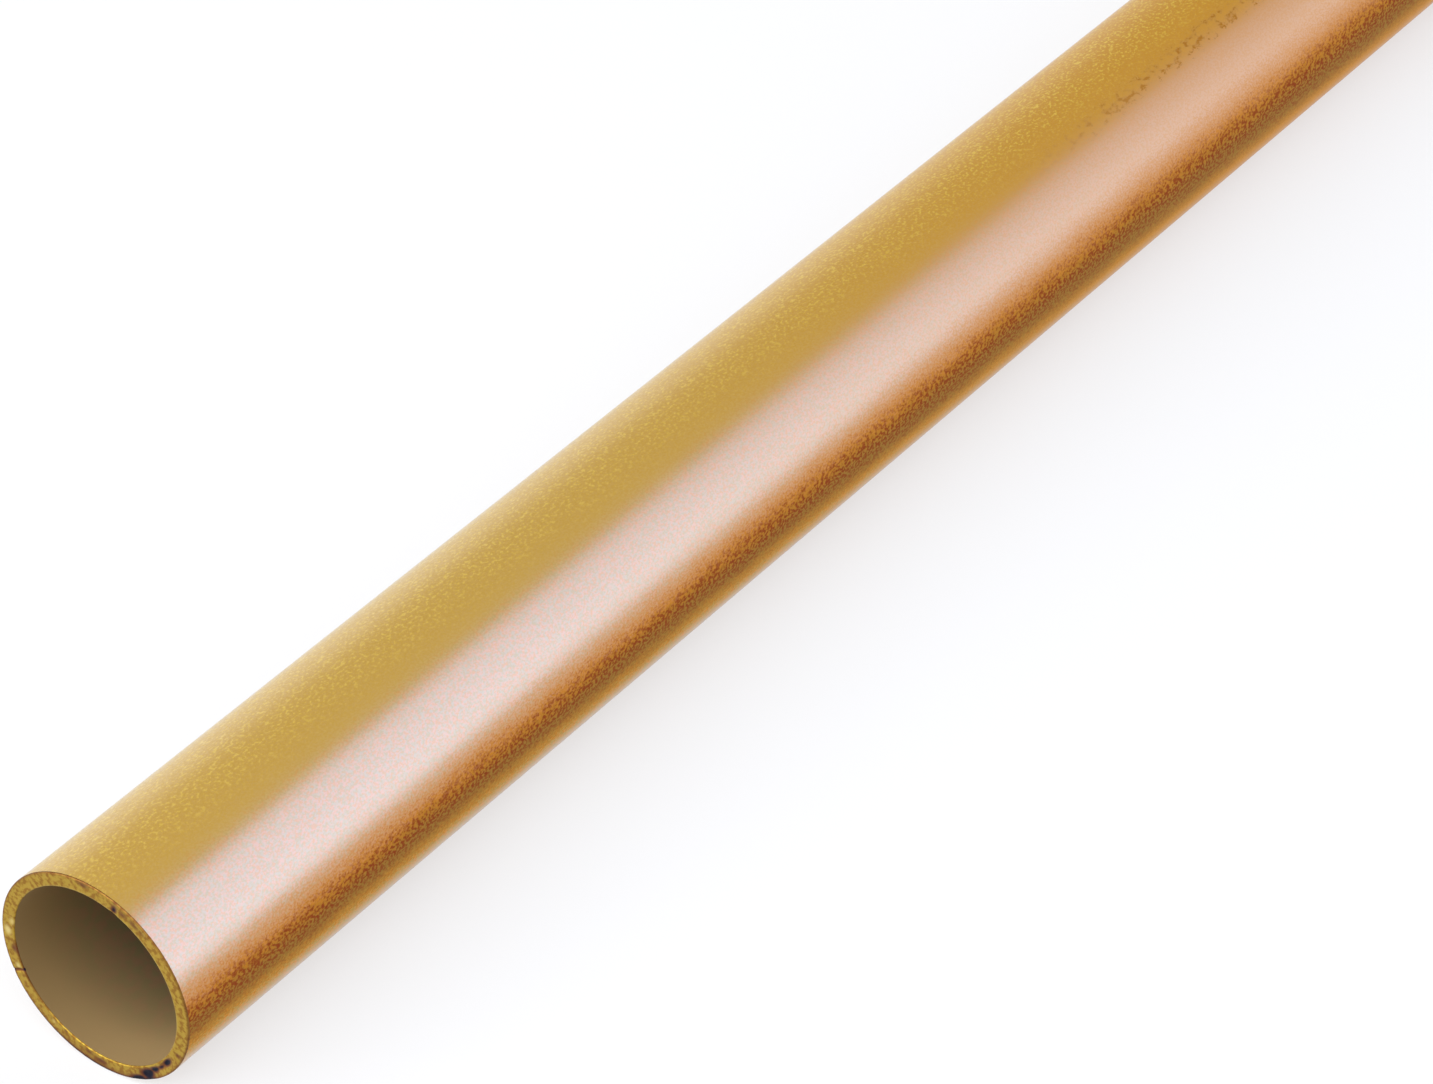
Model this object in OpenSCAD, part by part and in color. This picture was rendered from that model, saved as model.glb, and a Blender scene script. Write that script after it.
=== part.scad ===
// A length of round brass tube, drawn without a seam and sawn square at both
// ends. It lies along X, as a loose tube lies on a floor: the floor is Z = 0,
// and the middle of the tube is above the origin.

/* [Tube] */
// Outside diameter
outer_d = 15; // [6:0.5:60]
// Wall thickness
wall = 1; // [0.5:0.1:2.5]
// Length over the two sawn faces
length = 300; // [50:10:3000]

/* [Sawn ends] */
// Width of the broken outside edge
outer_break = 0.15; // [0.05:0.05:0.25]
// Width of the broken edge of the bore
bore_break = 0.1; // [0.05:0.05:0.2]
// Angle of both broken edges to the sawn face, in degrees
break_angle = 45; // [30:5:60]

/* [Hidden] */
$fn = 96;
outer_r = outer_d / 2;
bore_r = outer_r - wall;
outer_break_depth = outer_break * tan(break_angle);
bore_break_depth = bore_break * tan(break_angle);

// One sawn end of the wall's section, from the bore out to the outside. Each
// point is [distance from the tube's axis, place along it].
function sawn_end(place, inwards) = [
    [bore_r, place + inwards * bore_break_depth],
    [bore_r + bore_break, place],
    [outer_r - outer_break, place],
    [outer_r, place + inwards * outer_break_depth]
];

function reversed(points) = [for (i = [len(points) - 1:-1:0]) points[i]];

// The wall cut along the tube: a long thin strip with its four corners broken.
module wall_section() {
    polygon(concat(
        sawn_end(-length / 2, 1),
        reversed(sawn_end(length / 2, -1))
    ));
}

module tube() {
    color([0.78, 0.6, 0.3])
        translate([0, 0, outer_r])
            rotate([0, 90, 0])
                rotate_extrude()
                    wall_section();
}

tube();
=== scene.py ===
# A length of drawn round brass tube, sawn square at both ends, lying on a pale studio floor.
# Everything is in metres. The tube lies along X, its near end, the one at the front of the
# picture, is at -X, and the floor is at Z = 0.
import math

import bpy
import numpy as np
from mathutils import Matrix, Vector


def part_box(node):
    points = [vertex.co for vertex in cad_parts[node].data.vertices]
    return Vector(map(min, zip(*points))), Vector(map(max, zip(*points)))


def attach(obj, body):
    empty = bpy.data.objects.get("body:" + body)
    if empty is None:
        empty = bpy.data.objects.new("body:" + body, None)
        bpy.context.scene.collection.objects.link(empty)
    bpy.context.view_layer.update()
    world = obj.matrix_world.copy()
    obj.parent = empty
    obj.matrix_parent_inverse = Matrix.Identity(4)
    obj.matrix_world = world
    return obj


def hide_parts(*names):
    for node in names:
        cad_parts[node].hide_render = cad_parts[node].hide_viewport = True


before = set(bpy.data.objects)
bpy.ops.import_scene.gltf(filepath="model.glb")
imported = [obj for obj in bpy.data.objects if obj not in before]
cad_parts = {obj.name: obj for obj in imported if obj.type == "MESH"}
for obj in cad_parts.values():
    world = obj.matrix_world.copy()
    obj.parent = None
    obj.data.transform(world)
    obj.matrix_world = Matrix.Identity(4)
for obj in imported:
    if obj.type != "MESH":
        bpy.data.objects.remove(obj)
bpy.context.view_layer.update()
scene = bpy.context.scene
scene.view_settings.view_transform = "Standard"


# The camera looks down along the tube from beyond its near end, so that the sawn end and the
# bore show at the lower left and the tube leaves the picture at the upper right.
MM = 0.001
tube_low, tube_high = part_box("tube")
tube_length = tube_high.x - tube_low.x
outer_radius = (tube_high.z - tube_low.z) / 2
axis_height = (tube_high.z + tube_low.z) / 2
near_end_x = tube_low.x
far_end_x = tube_high.x

camera_azimuth = math.radians(-53.931)
camera_elevation = math.radians(37.445)
camera_from_near_end = (-175.87 * MM, -174.91 * MM, 221.05 * MM)
camera_data = bpy.data.cameras.new("camera")
camera_data.sensor_width = 36
camera_data.lens = 135.966
camera_data.clip_start = 0.01
camera_data.clip_end = 20
camera = bpy.data.objects.new("camera", camera_data)
camera.location = (
    near_end_x + camera_from_near_end[0],
    camera_from_near_end[1],
    axis_height + camera_from_near_end[2],
)
camera.rotation_euler = (math.pi / 2 - camera_elevation, 0, camera_azimuth)
scene.collection.objects.link(camera)
scene.camera = camera


# The floor is one wide sheet of white card. Close to the tube it takes the lamps' light and the
# tube's shadow, and further off it fades into an even white that meets the sky without a line.
FLOOR_SIZE = 16
FLOOR_LIT_RADIUS = 0.35
FLOOR_EVEN_RADIUS = 0.9
FLOOR_COLOUR = (0.68, 0.66, 0.62, 1)
FLOOR_SHADOW_SHARE = 0.38


def new_nodes(name):
    """An empty material of that name, its nodes, its links, and its output node."""
    material = bpy.data.materials.new(name)
    material.use_nodes = True
    nodes = material.node_tree.nodes
    nodes.clear()
    output = nodes.new("ShaderNodeOutputMaterial")
    return material, nodes, material.node_tree.links, output


floor_corner = FLOOR_SIZE / 2
floor_mesh = bpy.data.meshes.new("floor")
floor_mesh.from_pydata(
    [
        (-floor_corner, -floor_corner, 0),
        (floor_corner, -floor_corner, 0),
        (floor_corner, floor_corner, 0),
        (-floor_corner, floor_corner, 0),
    ],
    [],
    [(0, 1, 2, 3)],
)
floor = bpy.data.objects.new("floor", floor_mesh)
scene.collection.objects.link(floor)
floor_card, nodes, links, output = new_nodes("floor card")
place = nodes.new("ShaderNodeTexCoord")
distance = nodes.new("ShaderNodeVectorMath")
distance.operation = "LENGTH"
links.new(place.outputs["Object"], distance.inputs[0])
lit_share = nodes.new("ShaderNodeMapRange")
lit_share.interpolation_type = "SMOOTHSTEP"
lit_share.inputs["From Min"].default_value = FLOOR_LIT_RADIUS
lit_share.inputs["From Max"].default_value = FLOOR_EVEN_RADIUS
lit_share.inputs["To Min"].default_value = FLOOR_SHADOW_SHARE
lit_share.inputs["To Max"].default_value = 0
links.new(distance.outputs["Value"], lit_share.inputs["Value"])
even_white = nodes.new("ShaderNodeEmission")
even_white.inputs["Color"].default_value = (1, 1, 1, 1)
even_white.inputs["Strength"].default_value = 1
lit_card = nodes.new("ShaderNodeBsdfDiffuse")
lit_card.inputs["Color"].default_value = FLOOR_COLOUR
floor_mix = nodes.new("ShaderNodeMixShader")
links.new(lit_share.outputs["Result"], floor_mix.inputs["Fac"])
links.new(even_white.outputs["Emission"], floor_mix.inputs[1])
links.new(lit_card.outputs["BSDF"], floor_mix.inputs[2])
links.new(floor_mix.outputs["Shader"], output.inputs["Surface"])
floor_mesh.materials.append(floor_card)


# The studio's walls are pale at the height of the floor and dim above, where the ceiling is
# unlit, so that the metal has something darker than the softboxes to reflect.
HORIZON_WHITE = 1.0
CEILING_GREY = 0.25
WALL_TOP = 0.12
CEILING_START = 0.5

world = bpy.data.worlds.new("studio")
world.use_nodes = True
world_nodes = world.node_tree.nodes
world_links = world.node_tree.links
world_nodes.clear()
world_output = world_nodes.new("ShaderNodeOutputWorld")
world_light = world_nodes.new("ShaderNodeBackground")
world_light.inputs["Color"].default_value = (1, 1, 1, 1)
world_links.new(world_light.outputs["Background"], world_output.inputs["Surface"])
direction = world_nodes.new("ShaderNodeTexCoord")
height = world_nodes.new("ShaderNodeSeparateXYZ")
world_links.new(direction.outputs["Generated"], height.inputs["Vector"])
dimming = world_nodes.new("ShaderNodeMapRange")
dimming.interpolation_type = "SMOOTHSTEP"
dimming.inputs["From Min"].default_value = WALL_TOP
dimming.inputs["From Max"].default_value = CEILING_START
dimming.inputs["To Min"].default_value = HORIZON_WHITE
dimming.inputs["To Max"].default_value = CEILING_GREY
world_links.new(height.outputs["Z"], dimming.inputs["Value"])
world_links.new(dimming.outputs["Result"], world_light.inputs["Strength"])
scene.world = world


# Two softboxes light the tube: a tall key at the front, towards the far end, and a very broad one
# above and behind. Neither shows to the camera, only its reflection does.
LIT_MIDDLE_X = near_end_x + 60 * MM
LAMP_REACH = 0.8


def softbox(name, round_angle, end_angle, round_spread, end_spread, radiance, tint=(1, 1, 1)):
    """A rectangular area lamp that faces the tube. Its direction from the tube turns about the
    tube's axis by round_angle, up from the front, and leans towards the far end by end_angle.
    The spreads are its angles across, seen from the tube, so a side is twice the reach times
    the tangent of half of one. Its power is radiance times pi times its area."""
    round_turn = math.radians(round_angle)
    lean = math.radians(end_angle)
    towards = Vector((
        math.sin(lean),
        -math.cos(round_turn) * math.cos(lean),
        math.sin(round_turn) * math.cos(lean),
    ))
    along = (Vector((1, 0, 0)) - towards * towards.x).normalized()
    around = towards.cross(along)
    lamp = bpy.data.lights.new(name, "AREA")
    lamp.shape = "RECTANGLE"
    lamp.size = 2 * LAMP_REACH * math.tan(math.radians(end_spread / 2))
    lamp.size_y = 2 * LAMP_REACH * math.tan(math.radians(round_spread / 2))
    lamp.energy = radiance * math.pi * lamp.size * lamp.size_y
    lamp.color = tint
    box = bpy.data.objects.new(name, lamp)
    box.location = Vector((LIT_MIDDLE_X, 0, axis_height)) + LAMP_REACH * towards
    box.rotation_euler = Matrix((along, around, towards)).transposed().to_euler()
    box.visible_camera = False
    scene.collection.objects.link(box)


softbox("key_softbox", 32, 30, round_spread=62, end_spread=28, radiance=3.7, tint=(0.67, 0.81, 1.15))
softbox("top_softbox", 106, -46, round_spread=100, end_spread=62, radiance=3.8, tint=(0.95, 1.0, 1.12))


# The tube is drawn from one piece of brass, so it has no seam. Its wall is a closed strip of
# section points carried once round the axis, with both ends sawn and lightly broken by hand.
WALL = 1.0 * MM
OUTER_BREAK = 0.12 * MM
BORE_BREAK = 0.1 * MM
bore_radius = outer_radius - WALL
TURN_STEPS = 540
DRAWN, SAWN, BORE = 0, 1, 2


def graded(start, end, count, growth):
    """count + 1 numbers from start to end whose steps grow by the same ratio each time."""
    steps = growth ** np.arange(count)
    run = np.concatenate([[0], np.cumsum(steps)])
    return start + (end - start) * run / run[-1]


def sawn_end_section():
    """One end's section from the bore out to the outside: radius, depth in from the end's plane,
    and finish of the stretch that each point starts. Both broken edges are quarter rounds,
    whose radius and depth go with the sine and the cosine of an angle from 0 to 90 degrees."""
    bore_depth = graded(30 * MM, BORE_BREAK, 16, 0.75)
    bore_turn = np.linspace(0, math.pi / 2, 6)
    face_radius = np.linspace(bore_radius + BORE_BREAK, outer_radius - OUTER_BREAK, 13)
    outer_turn = np.linspace(0, math.pi / 2, 7)
    outer_depth = graded(OUTER_BREAK, 30 * MM, 20, 1.28)
    radius = np.concatenate([
        np.full(16, bore_radius),
        bore_radius + BORE_BREAK * (1 - np.cos(bore_turn)),
        face_radius[1:-1],
        outer_radius - OUTER_BREAK * (1 - np.sin(outer_turn)),
        np.full(20, outer_radius),
    ])
    depth = np.concatenate([
        bore_depth[:-1],
        BORE_BREAK * (1 - np.sin(bore_turn)),
        np.zeros(11),
        OUTER_BREAK * (1 - np.cos(outer_turn)),
        outer_depth[1:],
    ])
    finish = np.concatenate([
        np.full(16, BORE), np.full(6, SAWN), np.full(11, SAWN), np.full(6, SAWN), np.full(21, DRAWN),
    ])
    return radius, depth, finish


end_radius, end_depth, end_finish = sawn_end_section()
PLAIN_FROM_END = 30 * MM
wall_middle = np.linspace(near_end_x + PLAIN_FROM_END, far_end_x - PLAIN_FROM_END, 25)[1:-1]
bore_middle = np.linspace(far_end_x - PLAIN_FROM_END, near_end_x + PLAIN_FROM_END, 9)[1:-1]
section_x = np.concatenate([
    near_end_x + end_depth, wall_middle, far_end_x - end_depth[::-1], bore_middle,
])
section_radius = np.concatenate([
    end_radius,
    np.full(len(wall_middle), outer_radius),
    end_radius[::-1],
    np.full(len(bore_middle), bore_radius),
])
section_finish = np.concatenate([
    end_finish,
    np.full(len(wall_middle), DRAWN),
    end_finish[:-1][::-1],
    [BORE],
    np.full(len(bore_middle), BORE),
])

# Marks on an end: turn from the front in degrees, place across the wall from 0 at the bore to 1
# at the outside, length round the rim, width across it and depth in millimetres, and tone, from
# -1 for metal rubbed bright, by 0 for clean and 0.5 for brown, to 1 for black.
NEAR_END_MARKS = (
    (92.0, 0.72, 0.45, 0.18, 0.02, 0.5),
    (72.0, 0.30, 0.24, 0.42, 0.06, 0.9),
    (66.5, 0.50, 0.35, 0.22, 0.03, 0.5),
    (59.0, 0.56, 0.55, 0.22, 0.02, 0.45),
    (53.0, 0.60, 0.40, 0.20, 0.02, 0.35),
    (171.0, 0.20, 0.32, 0.25, 0.04, -0.7),
    (178.5, 0.55, 0.38, 0.30, 0.05, -1.0),
    (190.0, 0.25, 0.36, 0.26, 0.04, 0.5),
    (201.0, 0.40, 0.30, 0.22, 0.03, -0.8),
    (203.5, 0.40, 0.11, 0.60, 0.10, 0.9),
    (236.0, 0.40, 0.25, 0.25, 0.02, -0.5),
    (244.5, 0.19, 0.16, 0.15, 0.02, 0.45),
    (261.0, 0.30, 0.45, 0.20, 0.02, 0.45),
    (269.5, 0.45, 0.50, 0.20, 0.03, 0.5),
    (294.0, 0.80, 0.65, 0.22, 0.06, 0.8),
    (302.0, 0.55, 0.62, 0.36, 0.16, 1.2),
    (309.0, 0.38, 0.50, 0.22, 0.14, 1.1),
    (315.5, 0.38, 0.45, 0.14, 0.10, 0.9),
    (322.5, 0.34, 0.52, 0.22, 0.16, 1.2),
    (334.5, 0.60, 0.22, 0.25, 0.03, 0.5),
)
FAR_END_MARKS = (
    (40.0, 0.50, 0.50, 0.30, 0.06, 0.5),
    (118.0, 0.85, 0.40, 0.30, 0.12, 0.8),
    (160.0, 0.40, 0.35, 0.25, 0.04, -0.7),
    (251.0, 0.30, 0.30, 0.25, 0.10, 0.9),
    (310.0, 0.60, 0.50, 0.20, 0.03, 0.5),
)

turn = np.linspace(0, 2 * math.pi, TURN_STEPS, endpoint=False)[:, None]
x = np.broadcast_to(section_x, (TURN_STEPS, len(section_x))).copy()
radius = np.broadcast_to(section_radius, x.shape).copy()


def turn_from(degrees):
    """The angle from a place round the tube to each grid line, in radians from -pi to pi."""
    return (turn - math.radians(degrees) + math.pi) % (2 * math.pi) - math.pi


def bell(distance, reach):
    """A bell curve: one at no distance, and e to the minus one at its reach."""
    return np.exp(-(distance / reach) ** 2)


def sawn_relief(end_x, inwards, blade_angle, pitch, depth, marks):
    """How far each point of one end is pushed in, and the face's tone there. The saw's teeth leave
    straight furrows: a sine of the distance across the blade's stroke, bent by a slower one. Each
    mark is a dent whose depth falls off as a bell curve along the rim, across the wall and down
    into the tube. The highest tone of the dark marks and the lowest of the bright ones are added."""
    into_tube = (x - end_x) * inwards
    across_stroke = radius * np.sin(turn - math.radians(90) + blade_angle)
    furrow = np.sin(2 * math.pi * across_stroke / pitch + 2.1 * np.sin(2 * math.pi * across_stroke / (5.3 * pitch)))
    lean = np.sin(2 * math.pi * across_stroke / (13.7 * pitch) + 0.8)
    push = depth * (0.65 + 0.35 * furrow + 0.3 * lean) * bell(into_tube, 0.25 * MM)
    dark = np.zeros(x.shape)
    bright = np.zeros(x.shape)
    for degrees, share, along, across, dent, mark_tone in marks:
        mark = bell(turn_from(degrees) * radius, along * MM) * bell(into_tube, 0.5 * MM)
        mark = mark * bell(radius - bore_radius - share * WALL, across * MM)
        push = push + dent * MM * mark
        dark = np.maximum(dark, mark_tone * mark)
        bright = np.minimum(bright, mark_tone * mark)
    return inwards * push, (dark + bright) * bell(into_tube, 1.5 * MM)


near_push, near_tone = sawn_relief(near_end_x, 1, math.radians(25), 0.5 * MM, 0.008 * MM, NEAR_END_MARKS)
far_push, far_tone = sawn_relief(far_end_x, -1, math.radians(-70), 0.55 * MM, 0.008 * MM, FAR_END_MARKS)

# The broken edges: the outer one is painted darker all round, most at the lower back and black at
# the bottom, painted shade that also hides the edge's shine; the one at the bore is painted bright,
# least at the back, a painted highlight, and darker at the lower back.
from_outside = outer_radius - radius
edge_painted_light_and_shade = (0.4 + 0.4 * bell(turn_from(222), 1.05)) * bell(from_outside, 0.13 * MM)
edge_painted_light_and_shade = edge_painted_light_and_shade + 0.6 * bell(turn_from(260), 0.6) * bell(from_outside, 0.4 * MM)
lip_tone = 0.5 * bell(turn_from(205), 0.6) - 0.7 * bell(turn_from(60), 1.5)
edge_painted_light_and_shade = edge_painted_light_and_shade + lip_tone * bell(radius - bore_radius, 0.11 * MM)
tone = near_tone + far_tone + edge_painted_light_and_shade
x = x + near_push + far_push

points = np.stack([
    x,
    -radius * np.cos(turn),
    axis_height + radius * np.sin(turn),
], axis=-1)


def closed_grid(name, grid):
    """A mesh of four-sided faces over a grid of points that closes on itself both ways. With the
    second direction crossed into the first, the faces point out of the metal."""
    rows, columns = grid.shape[:2]
    number = np.arange(rows * columns).reshape(rows, columns)
    next_row = np.roll(number, -1, axis=0)
    next_column = np.roll(number, -1, axis=1)
    both = np.roll(next_row, -1, axis=1)
    faces = np.stack([number, next_column, both, next_row], axis=-1).reshape(-1, 4)
    mesh = bpy.data.meshes.new(name)
    mesh.vertices.add(rows * columns)
    mesh.vertices.foreach_set("co", grid.reshape(-1).astype(np.float32))
    mesh.loops.add(faces.size)
    mesh.loops.foreach_set("vertex_index", faces.reshape(-1).astype(np.int32))
    mesh.polygons.add(len(faces))
    mesh.polygons.foreach_set("loop_start", np.arange(0, faces.size, 4, dtype=np.int32))
    mesh.update(calc_edges=True)
    mesh.validate()
    return mesh


tube_mesh = closed_grid("brass_tube", points)
tube_mesh.polygons.foreach_set("material_index", np.tile(section_finish, TURN_STEPS).astype(np.int32))
tube_mesh.polygons.foreach_set("use_smooth", np.ones(len(tube_mesh.polygons), dtype=bool))
tone_layer = tube_mesh.attributes.new("tone", "FLOAT", "POINT")
tone_layer.data.foreach_set("value", tone.reshape(-1).astype(np.float32))
brass_tube = bpy.data.objects.new("brass_tube", tube_mesh)
scene.collection.objects.link(brass_tube)


# The wall outside is as it left the drawing die: a fine satin grain, faint lines along the tube,
# and a thin clear film that shines whiter than the metal. Along the front the film is left off and
# the brass is painted brown in a streak with soft speckled edges, a painted dark reflection with
# red-brown speckles in it. Under the key's highlight the gold is painted rose, a painted tint that
# turns that highlight pink.
CLEAN_GOLD = (0.58, 0.36, 0.03, 1)
FAR_GOLD = (0.58, 0.30, 0.015, 1)
FLECK_GOLD = (0.70, 0.50, 0.06, 1)
# Under the key's highlight the metal is painted rose, with paler speckles and deeper towards the far end: a painted
# tint that turns that highlight pink.
HIGHLIGHT_TINT_ROSE = (0.60, 0.27, 0.02, 1)
HIGHLIGHT_TINT_SPECKLE = (0.46, 0.31, 0.06, 1)
HIGHLIGHT_TINT_FAR = (0.60, 0.28, 0.015, 1)
# The next three colours paint the streak along the front, a painted dark reflection: orange at its edges, olive
# brown with red speckles inside.
PAINTED_REFLECTION_ORANGE = (0.58, 0.24, 0.02, 1)
PAINTED_REFLECTION_RED = (0.30, 0.06, 0.012, 1)
PAINTED_REFLECTION_OLIVE = (0.36, 0.20, 0.035, 1)
SPOT_BROWN = (0.46, 0.21, 0.03, 1)


def new_group(name, inputs, outputs):
    """An empty node group: its inputs are names with starting numbers, its outputs only names."""
    group = bpy.data.node_groups.new(name, "ShaderNodeTree")
    for label, start in inputs.items():
        group.interface.new_socket(label, in_out="INPUT", socket_type="NodeSocketFloat").default_value = start
    for label in outputs:
        group.interface.new_socket(label, in_out="OUTPUT", socket_type="NodeSocketFloat")
    return group, group.nodes, group.links, group.nodes.new("NodeGroupInput"), group.nodes.new("NodeGroupOutput")


def add_math(nodes, links, operation, *values):
    """The outcome of a Math node on two or three values, each a socket or a number."""
    node = nodes.new("ShaderNodeMath")
    node.operation = operation
    for slot, value in zip(node.inputs, values):
        if isinstance(value, (int, float)):
            slot.default_value = value
        else:
            links.new(value, slot)
    return node.outputs["Value"]


def add_ramp(nodes, links, value, start, end, low=0.0, high=1.0):
    """A value carried smoothly from low at start to high at end, and held outside them."""
    node = nodes.new("ShaderNodeMapRange")
    node.interpolation_type = "SMOOTHSTEP"
    links.new(value, node.inputs["Value"])
    for label, number in (("From Min", start), ("From Max", end), ("To Min", low), ("To Max", high)):
        if isinstance(number, (int, float)):
            node.inputs[label].default_value = number
        else:
            links.new(number, node.inputs[label])
    return node.outputs["Result"]


def add_mix(nodes, links, share, first, second):
    """Two colours mixed by a share of the second, each a socket or a colour."""
    node = nodes.new("ShaderNodeMix")
    node.data_type = "RGBA"
    for slot, value in ((node.inputs[0], share), (node.inputs[6], first), (node.inputs[7], second)):
        if isinstance(value, (int, float, tuple)):
            slot.default_value = value
        else:
            links.new(value, slot)
    return node.outputs[2]


def add_group(nodes, group, **values):
    """A placed node group with its inputs set, an underscore standing for a space."""
    node = nodes.new("ShaderNodeGroup")
    node.node_tree = group
    for label, number in values.items():
        node.inputs[label.replace("_", " ")].default_value = number
    return node


# Noise on the object's own coordinates, drawn out along the tube. Spots per metre says how fine
# it is across, and the stretch how many times longer each spot is than wide.
grain, nodes, links, given, put = new_group(
    "metal grain", {"Spots per metre": 5000, "Stretch": 1, "Detail": 2}, ["Grain"]
)
place = nodes.new("ShaderNodeTexCoord")
along_scale = add_math(nodes, links, "DIVIDE", given.outputs["Spots per metre"], given.outputs["Stretch"])
scales = nodes.new("ShaderNodeCombineXYZ")
links.new(along_scale, scales.inputs["X"])
links.new(given.outputs["Spots per metre"], scales.inputs["Y"])
links.new(given.outputs["Spots per metre"], scales.inputs["Z"])
stretched = nodes.new("ShaderNodeVectorMath")
stretched.operation = "MULTIPLY"
links.new(place.outputs["Object"], stretched.inputs[0])
links.new(scales.outputs["Vector"], stretched.inputs[1])
noise = nodes.new("ShaderNodeTexNoise")
noise.inputs["Scale"].default_value = 1
links.new(stretched.outputs["Vector"], noise.inputs["Vector"])
links.new(given.outputs["Detail"], noise.inputs["Detail"])
links.new(noise.outputs["Fac"], put.inputs["Grain"])

drawn_brass, nodes, links, output = new_nodes("drawn brass")
metal = nodes.new("ShaderNodeBsdfPrincipled")
links.new(metal.outputs["BSDF"], output.inputs["Surface"])
metal.inputs["Metallic"].default_value = 1
metal.inputs["Coat Roughness"].default_value = 0.33
metal.inputs["Coat IOR"].default_value = 2.5
metal.inputs["Sheen Weight"].default_value = 0.3
metal.inputs["Sheen Roughness"].default_value = 0.2
metal.inputs["Sheen Tint"].default_value = (0.35, 0.6, 1, 1)

# The angle round the tube is in radians up from the front. Grain and slow noise move what it is
# compared with, and the streak widens along the tube, where the gold deepens too.
STREAK_MIDDLE = -0.06
STREAK_WIDENS = 0.36
# Between these two places the colour goes over to its deeper far-end shades and the streak widens.
FAR_SHARE_FROM = near_end_x + 35 * MM
FAR_SHARE_TO = near_end_x + 135 * MM
place = nodes.new("ShaderNodeTexCoord")
parts = nodes.new("ShaderNodeSeparateXYZ")
links.new(place.outputs["Object"], parts.inputs["Vector"])
above_axis = add_math(nodes, links, "SUBTRACT", parts.outputs["Z"], axis_height)
to_front = add_math(nodes, links, "MULTIPLY", parts.outputs["Y"], -1)
round_tube = add_math(nodes, links, "ARCTAN2", above_axis, to_front)
fine = add_group(nodes, grain, Spots_per_metre=7500, Stretch=1.3, Detail=2).outputs["Grain"]
speckle = add_group(nodes, grain, Spots_per_metre=4800, Stretch=1.3, Detail=2).outputs["Grain"]
coarse = add_group(nodes, grain, Spots_per_metre=700, Stretch=3, Detail=3).outputs["Grain"]
lines = add_group(nodes, grain, Spots_per_metre=2600, Stretch=60, Detail=2).outputs["Grain"]
ragged = add_ramp(nodes, links, fine, 0.25, 0.75, -0.05, 0.05)
wander = add_ramp(nodes, links, coarse, 0.2, 0.8, -0.025, 0.025)
uneven = add_math(nodes, links, "ADD", round_tube, add_math(nodes, links, "ADD", ragged, wander))
far_share = add_ramp(nodes, links, parts.outputs["X"], FAR_SHARE_FROM, FAR_SHARE_TO)
width = add_math(nodes, links, "MULTIPLY_ADD", far_share, STREAK_WIDENS, 1)
from_streak = add_math(nodes, links, "SUBTRACT", uneven, STREAK_MIDDLE)
from_streak = add_math(nodes, links, "DIVIDE", from_streak, width)

# The brown streak along the front is a painted dark reflection, with orange edges and red speckles.
dotted = add_ramp(nodes, links, speckle, 0.3, 0.7, -0.07, 0.07)
streak_top = add_ramp(nodes, links, add_math(nodes, links, "ADD", from_streak, dotted), 0.06, 0.34, 1.0, 0.0)
streak_bottom = add_ramp(nodes, links, from_streak, -0.25, -0.01)
painted_reflection = add_math(nodes, links, "MULTIPLY", streak_top, streak_bottom)
orange_top = add_ramp(nodes, links, from_streak, 0.22, 0.6, 1.0, 0.0)
orange_bottom = add_ramp(nodes, links, from_streak, -0.28, -0.03)
painted_reflection_edge = add_math(nodes, links, "MULTIPLY", orange_top, orange_bottom)
upper = add_ramp(nodes, links, uneven, 0.96, 1.24)
fleck_zone = add_ramp(nodes, links, uneven, 1.2, 1.6, 0.1, 1.0)
flecks = add_math(nodes, links, "MULTIPLY", add_ramp(nodes, links, speckle, 0.48, 0.7), fleck_zone)

# Small spots of tarnish gather in a line near the top, a third of the way along.
SPOT_LINE = 1.17
SPOT_LINE_WIDTH = 0.14
SPOTS_FROM = near_end_x + 92 * MM
SPOTS_FULL = near_end_x + 118 * MM
SPOTS_THIN = near_end_x + 170 * MM
SPOTS_END = near_end_x + 250 * MM
off_line = add_math(nodes, links, "ABSOLUTE", add_math(nodes, links, "SUBTRACT", uneven, SPOT_LINE))
near_line = add_ramp(nodes, links, off_line, SPOT_LINE_WIDTH / 3, SPOT_LINE_WIDTH, 1.0, 0.0)
spot_start = add_ramp(nodes, links, parts.outputs["X"], SPOTS_FROM, SPOTS_FULL)
spot_end = add_ramp(nodes, links, parts.outputs["X"], SPOTS_THIN, SPOTS_END, 1.0, 0.0)
spot_noise = add_group(nodes, grain, Spots_per_metre=2000, Stretch=1.4, Detail=2).outputs["Grain"]
spots = add_math(nodes, links, "MULTIPLY", add_ramp(nodes, links, spot_noise, 0.46, 0.68), near_line)
spots = add_math(nodes, links, "MULTIPLY", spots, add_math(nodes, links, "MULTIPLY", spot_start, spot_end))

gold = add_mix(nodes, links, far_share, CLEAN_GOLD, FAR_GOLD)
gold = add_mix(nodes, links, flecks, gold, FLECK_GOLD)
# The painted highlight tint: rose metal under the key's highlight, so that it shows pink.
painted_highlight_tint = add_mix(nodes, links, add_ramp(nodes, links, speckle, 0.35, 0.65), HIGHLIGHT_TINT_ROSE, HIGHLIGHT_TINT_SPECKLE)
painted_highlight_tint = add_mix(nodes, links, far_share, painted_highlight_tint, HIGHLIGHT_TINT_FAR)
gold = add_mix(nodes, links, upper, painted_highlight_tint, gold)
gold = add_mix(nodes, links, painted_reflection_edge, gold, PAINTED_REFLECTION_ORANGE)
gold = add_mix(nodes, links, spots, gold, SPOT_BROWN)
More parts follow.
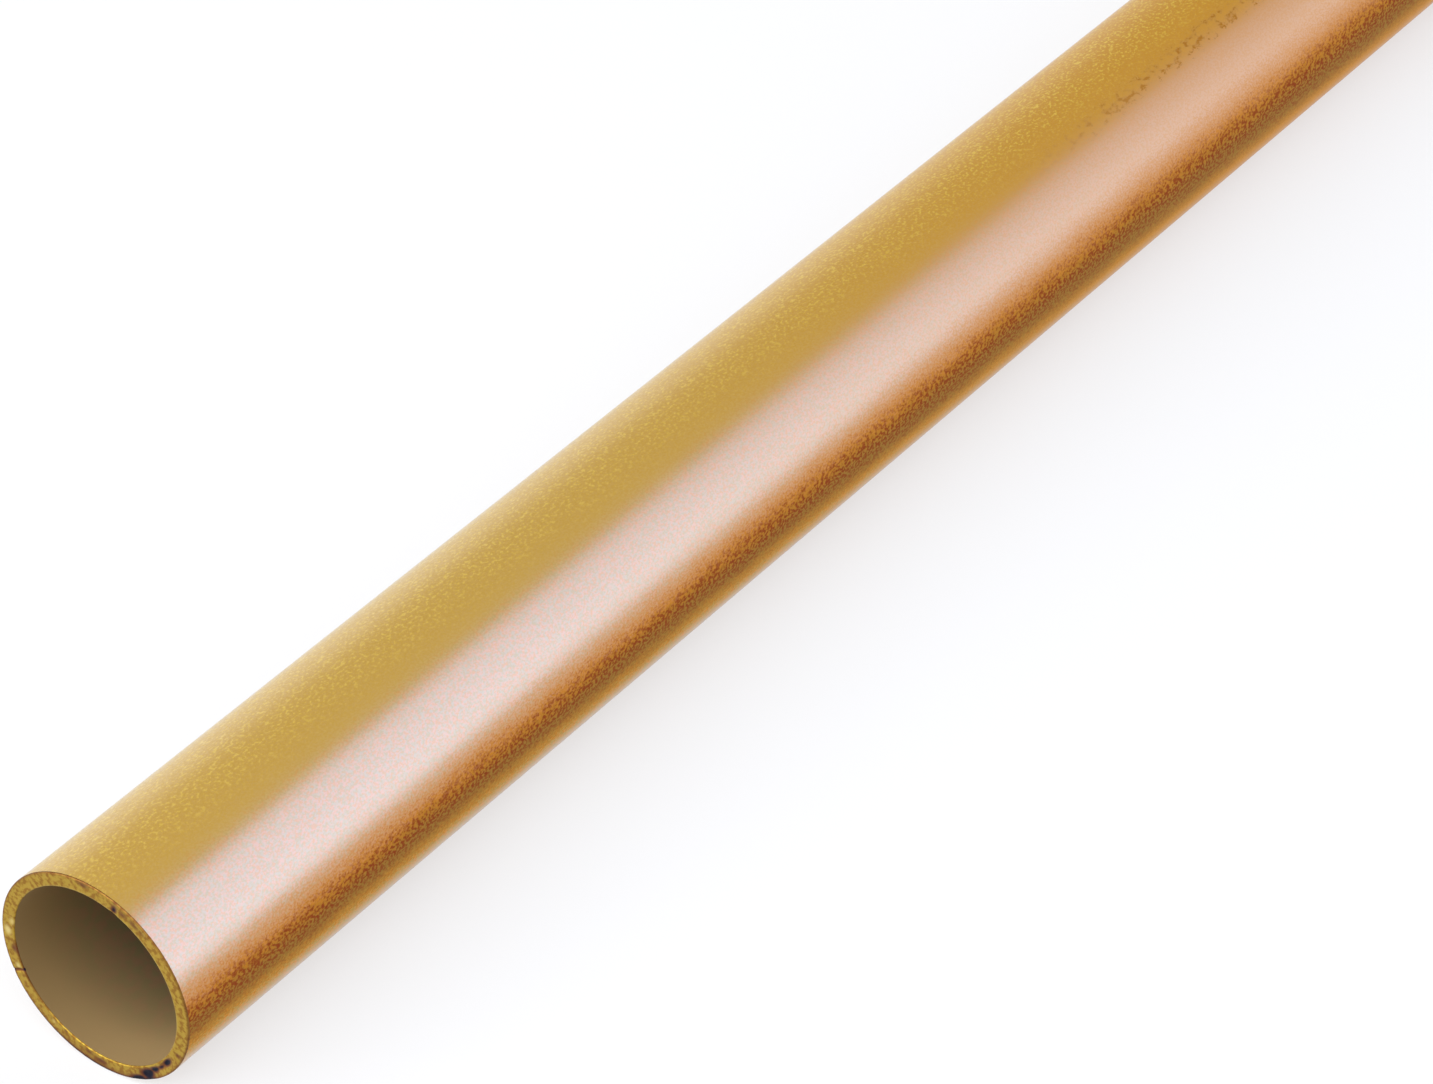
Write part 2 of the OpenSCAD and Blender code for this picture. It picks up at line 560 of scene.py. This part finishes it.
# The streak's painted dark reflection: olive brown with red speckles.
red_zone = add_ramp(nodes, links, from_streak, -0.16, 0.12, 0.3, 1.0)
red_dots = add_math(nodes, links, "MULTIPLY", add_ramp(nodes, links, speckle, 0.6, 0.42), red_zone)
painted_reflection_brown = add_mix(nodes, links, red_dots, PAINTED_REFLECTION_OLIVE, PAINTED_REFLECTION_RED)
links.new(add_mix(nodes, links, painted_reflection, gold, painted_reflection_brown), metal.inputs["Base Color"])

# The film is off along the painted dark streak and over the spots, thin in the grain's hollows, and
# worn towards the far end along the top.
TOP_WORN = 0.55
film_top = add_ramp(nodes, links, from_streak, 0.16, 0.54)
film_under = add_ramp(nodes, links, from_streak, -0.44, -0.17, 1.0, 0.0)
film_under = add_math(nodes, links, "MULTIPLY", film_under, add_math(nodes, links, "MULTIPLY_ADD", far_share, -0.6, 0.8))
film = add_math(nodes, links, "MAXIMUM", film_top, film_under)
film = add_math(nodes, links, "MULTIPLY", film, add_ramp(nodes, links, fine, 0.35, 0.65, 0.72, 1.0))
worn = add_math(nodes, links, "MULTIPLY", far_share, add_math(nodes, links, "MULTIPLY", upper, TOP_WORN))
worn = add_math(nodes, links, "MAXIMUM", worn, spots)
film = add_math(nodes, links, "MULTIPLY", film, add_math(nodes, links, "SUBTRACT", 1, worn))
links.new(film, metal.inputs["Coat Weight"])
links.new(add_ramp(nodes, links, fine, 0.3, 0.7, 0.8, 0.88), metal.inputs["Roughness"])
bump = nodes.new("ShaderNodeBump")
bump.inputs["Strength"].default_value = 0.2
bump.inputs["Distance"].default_value = 0.02 * MM
links.new(add_math(nodes, links, "MULTIPLY_ADD", lines, 0.5, fine), bump.inputs["Height"])
links.new(bump.outputs["Normal"], metal.inputs["Normal"])


# The sawn ends are bare metal that has dulled since. The tone set round each rim turns it
# bright, brown or black: at the marks for wear, stains and nicks, along the broken edges for
# painted shade and a painted highlight.
SAWN_GOLD = (0.41, 0.265, 0.035, 1)
SAWN_DULL = (0.27, 0.135, 0.02, 1)
RUBBED_AND_HIGHLIGHT_BRIGHT = (0.62, 0.49, 0.17, 1)
STAIN_AND_SHADE_BROWN = (0.15, 0.05, 0.02, 1)
NICK_AND_SHADE_BLACK = (0.012, 0.012, 0.022, 1)
sawn_brass, nodes, links, output = new_nodes("sawn brass")
metal = nodes.new("ShaderNodeBsdfPrincipled")
links.new(metal.outputs["BSDF"], output.inputs["Surface"])
metal.inputs["Metallic"].default_value = 1
mottle = add_group(nodes, grain, Spots_per_metre=2800, Stretch=1, Detail=3).outputs["Grain"]
colour = add_mix(nodes, links, add_ramp(nodes, links, mottle, 0.42, 0.64), SAWN_GOLD, SAWN_DULL)
tone_value = nodes.new("ShaderNodeAttribute")
tone_value.attribute_name = "tone"
shade = tone_value.outputs["Fac"]
# Bright tone gives rubbed metal at the marks and the bore edge's painted highlight; dark tone gives stains, nicks
# and the outer edge's painted shade.
colour = add_mix(nodes, links, add_ramp(nodes, links, shade, -1, 0, 1.0, 0.0), colour, RUBBED_AND_HIGHLIGHT_BRIGHT)
colour = add_mix(nodes, links, add_ramp(nodes, links, shade, 0, 0.6), colour, STAIN_AND_SHADE_BROWN)
colour = add_mix(nodes, links, add_ramp(nodes, links, shade, 0.5, 0.9), colour, NICK_AND_SHADE_BLACK)
links.new(colour, metal.inputs["Base Color"])
links.new(add_ramp(nodes, links, mottle, 0.35, 0.65, 0.48, 0.62), metal.inputs["Roughness"])


# The bore has a dull skin of oxide and drawing oil, olive in places and dark red in others. Its
# colour is painted far darker than that skin, painted shade for the inside of the tube, and a
# lighter brown close to the mouths, painted light where the lamps reach in.
BORE_OXIDE_AND_SHADE_OLIVE = (0.040, 0.060, 0.025, 1)
BORE_OXIDE_AND_SHADE_RED = (0.110, 0.040, 0.030, 1)
MOUTH_PAINTED_LIGHT_BROWN = (0.27, 0.17, 0.060, 1)
MOUTH_REACH = 16 * MM
bore_brass, nodes, links, output = new_nodes("bore brass")
metal = nodes.new("ShaderNodeBsdfPrincipled")
links.new(metal.outputs["BSDF"], output.inputs["Surface"])
metal.inputs["Metallic"].default_value = 0.3
metal.inputs["Roughness"].default_value = 0.75
place = nodes.new("ShaderNodeTexCoord")
parts = nodes.new("ShaderNodeSeparateXYZ")
links.new(place.outputs["Object"], parts.inputs["Vector"])
from_middle = add_math(nodes, links, "ABSOLUTE", parts.outputs["X"])
# Lighter brown near the mouths: painted light where the lamps reach into the bore.
mouth_painted_light = add_ramp(nodes, links, from_middle, far_end_x - MOUTH_REACH, far_end_x)
mottle = add_group(nodes, grain, Spots_per_metre=1500, Stretch=1.2, Detail=5).outputs["Grain"]
colour = add_mix(nodes, links, add_ramp(nodes, links, mottle, 0.4, 0.6), BORE_OXIDE_AND_SHADE_OLIVE, BORE_OXIDE_AND_SHADE_RED)
colour = add_mix(nodes, links, mouth_painted_light, colour, MOUTH_PAINTED_LIGHT_BROWN)
links.new(colour, metal.inputs["Base Color"])

for finish in (drawn_brass, sawn_brass, bore_brass):
    tube_mesh.materials.append(finish)
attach(brass_tube, "root")
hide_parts("tube")
